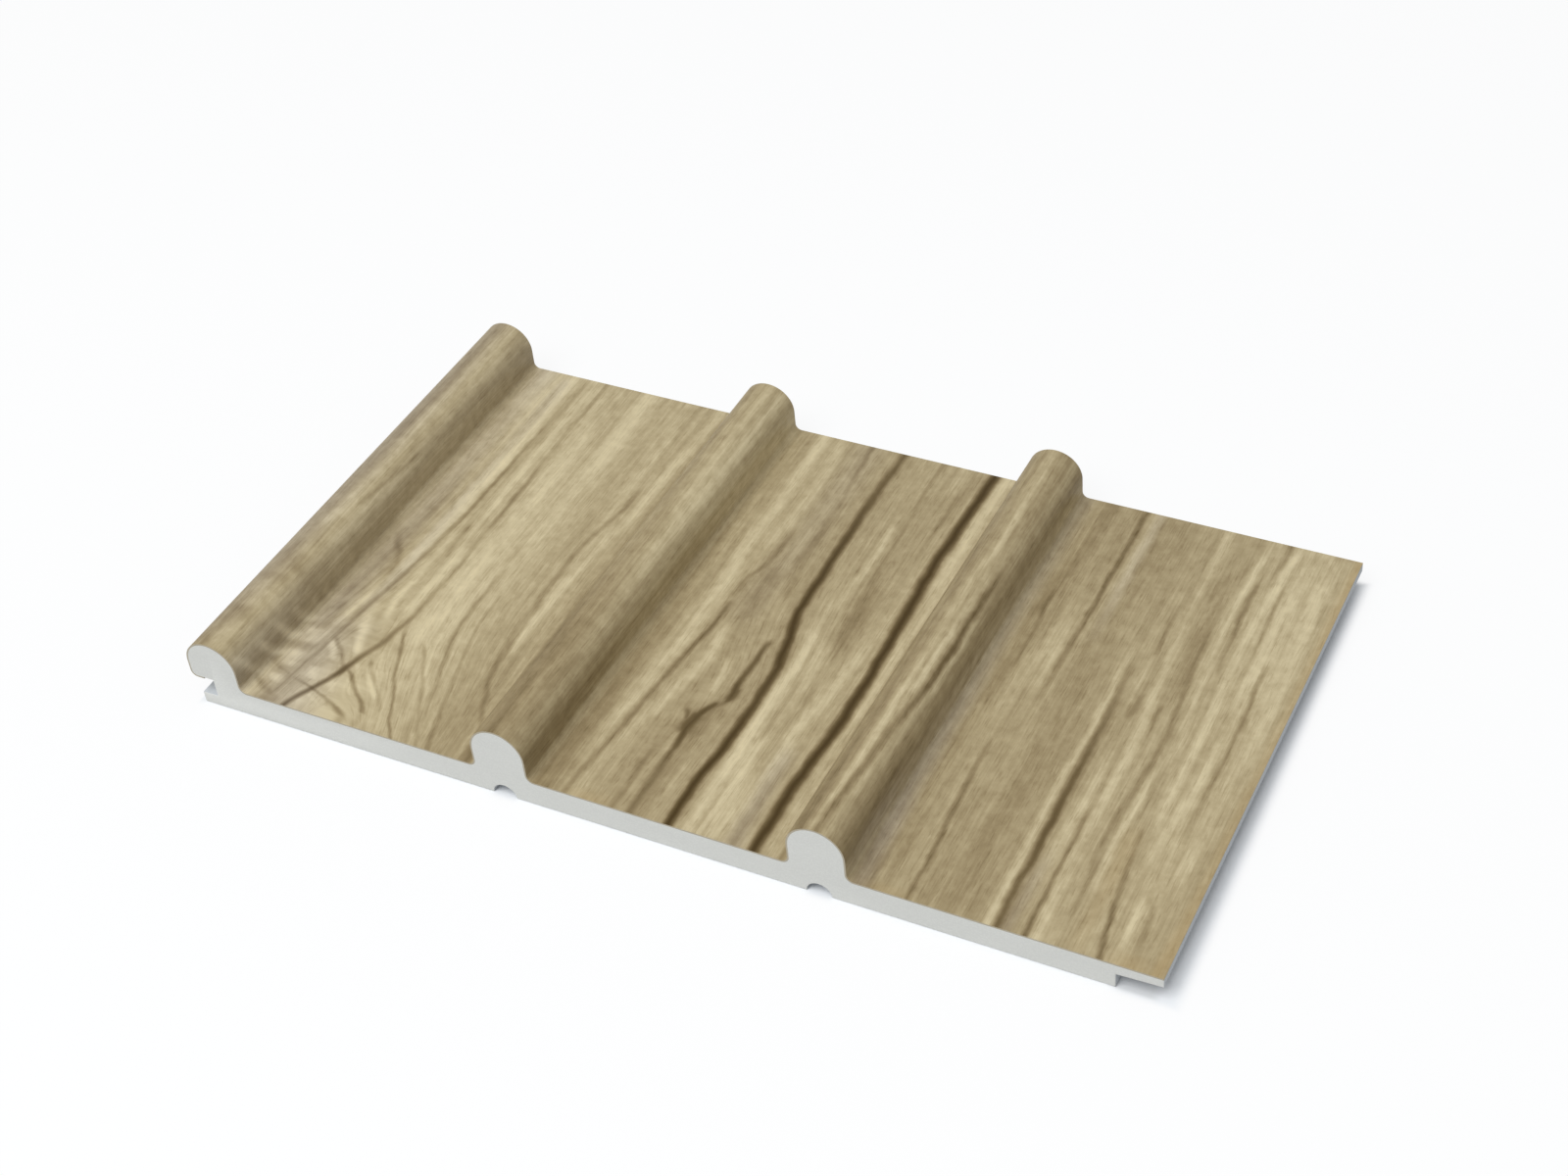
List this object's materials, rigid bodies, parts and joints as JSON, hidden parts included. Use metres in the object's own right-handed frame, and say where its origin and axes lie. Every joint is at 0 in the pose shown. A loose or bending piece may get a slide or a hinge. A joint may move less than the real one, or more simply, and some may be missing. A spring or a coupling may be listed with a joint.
{
  "type": "slat wall panel",
  "caption": "Cut length of a wall panel with round-topped slats on a flat sheet, a wood-print film on its face, and a groove and a lip along its edges that join it to the next panel.",
  "frame": {"origin": "centre of the back, in the plane that lies on the wall or the floor", "axes": "+X across the slats from the groove edge to the lip edge, +Y along the slats, +Z out of the wall"},
  "size_m": [0.1474, 0.083, 0.012],
  "materials": {
    "foamed_polystyrene": "sawn foam, matt",
    "wood_print_film": "printed weathered oak, satin"
  },
  "bodies": {
    "root": {"panel_core": "foamed_polystyrene", "wood_foil": "wood_print_film"}
  },
  "joints": []
}
